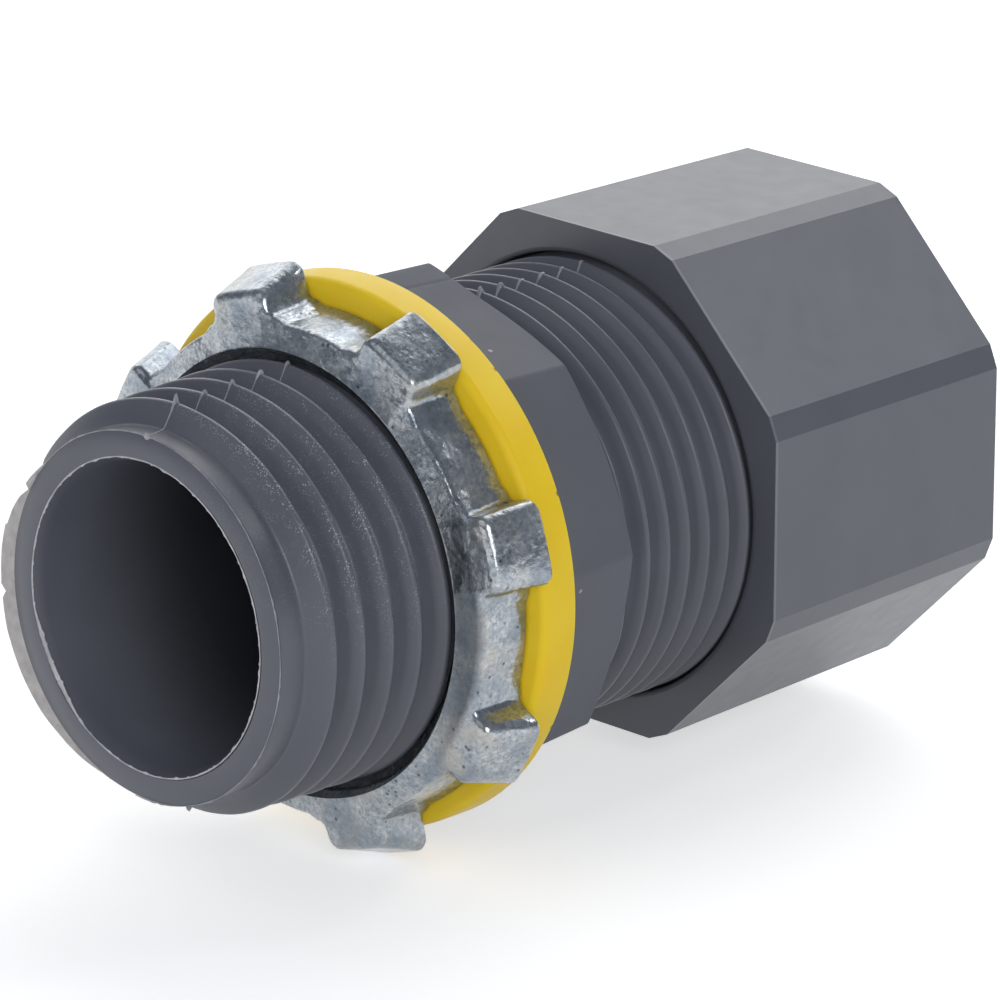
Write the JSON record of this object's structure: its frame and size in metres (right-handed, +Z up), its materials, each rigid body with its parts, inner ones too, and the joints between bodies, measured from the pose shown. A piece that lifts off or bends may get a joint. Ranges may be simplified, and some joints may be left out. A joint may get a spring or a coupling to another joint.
{
  "type": "strain relief cord connector",
  "caption": "Octagonal plastic cord connector with a tapered hub, locknut, sealing ring and a compression nut that squeezes a rubber grommet round the cord.",
  "frame": {"origin": "on the connector's axis, in the plane of the collar's front face, where the sealing ring seats", "axes": "+Y along the axis from the hub towards the compression nut and the incoming cord, +Z up as the part lies, +X to its right"},
  "size_m": [0.0286, 0.0467, 0.0286],
  "materials": {
    "grey_plastic": "satin moulded",
    "yellow_plastic": "satin moulded",
    "zinc": "plated zinc casting, mottled",
    "washer_plastic": "plain",
    "black_rubber": "matt"
  },
  "bodies": {
    "connector_body": {"connector_body": "grey_plastic"},
    "grommet_set": {"cord_grommet": "black_rubber", "slip_washer": "washer_plastic"},
    "compression_nut": {"compression_nut": "grey_plastic"},
    "sealing_ring": {"sealing_ring": "yellow_plastic"},
    "locknut": {"locknut": "zinc"}
  },
  "joints": [
    {"name": "nut_travel", "type": "slide", "parent": "connector_body", "child": "grommet_set", "axis": [0, 1, 0], "range_m": [-0.00565, 0.00742]},
    {"name": "nut_turn", "type": "hinge", "parent": "grommet_set", "child": "compression_nut", "pos_m": [0, 0, 0], "axis": [0, 1, 0], "range_deg": [-1440, 1890]},
    {"name": "ring_travel", "type": "slide", "parent": "connector_body", "child": "sealing_ring", "axis": [0, 1, 0], "range_m": [-0.0129, 0]},
    {"name": "locknut_turn", "type": "hinge", "parent": "sealing_ring", "child": "locknut", "pos_m": [0, 0, 0], "axis": [0, 1, 0], "range_deg": [-2556, 0]}
  ],
  "couplings": [
    {"joint": "nut_travel", "follows": "nut_turn", "m_per_rad": 0.00022457},
    {"joint": "ring_travel", "follows": "locknut_turn", "m_per_rad": 0.00028871}
  ]
}
